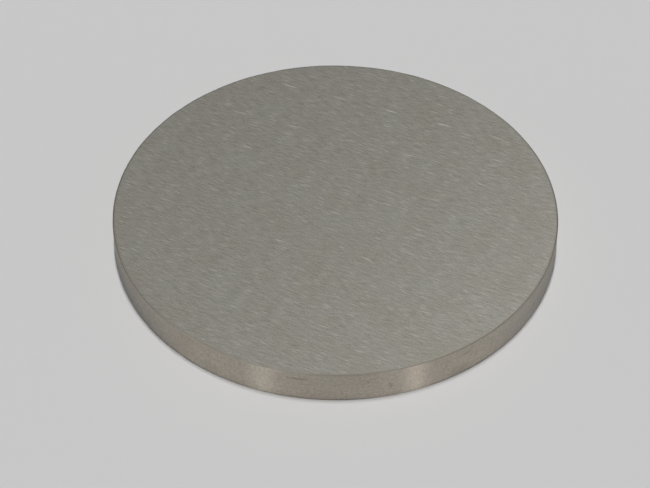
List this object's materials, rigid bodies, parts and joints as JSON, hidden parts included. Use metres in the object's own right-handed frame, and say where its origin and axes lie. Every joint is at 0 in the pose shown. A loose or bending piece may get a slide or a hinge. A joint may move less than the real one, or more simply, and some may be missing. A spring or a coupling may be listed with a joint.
{
  "type": "sputtering target",
  "caption": "Flat round sputtering target of nickel-niobium alloy: a solid disc with ground faces, a turned rim and lightly broken edges, for a magnetron sputtering source.",
  "frame": {"origin": "centre of the back face, which rests on what carries the target", "axes": "+Z along the disc's axis, out of the sputtered face; +X to the right and +Y away from the viewer in the picture"},
  "size_m": [0.0762, 0.0762, 0.006],
  "materials": {
    "target_alloy": "warm grey alloy, straight ground lay on both faces, fine turned rim"
  },
  "bodies": {
    "root": {"target_disc": "target_alloy"}
  },
  "joints": []
}
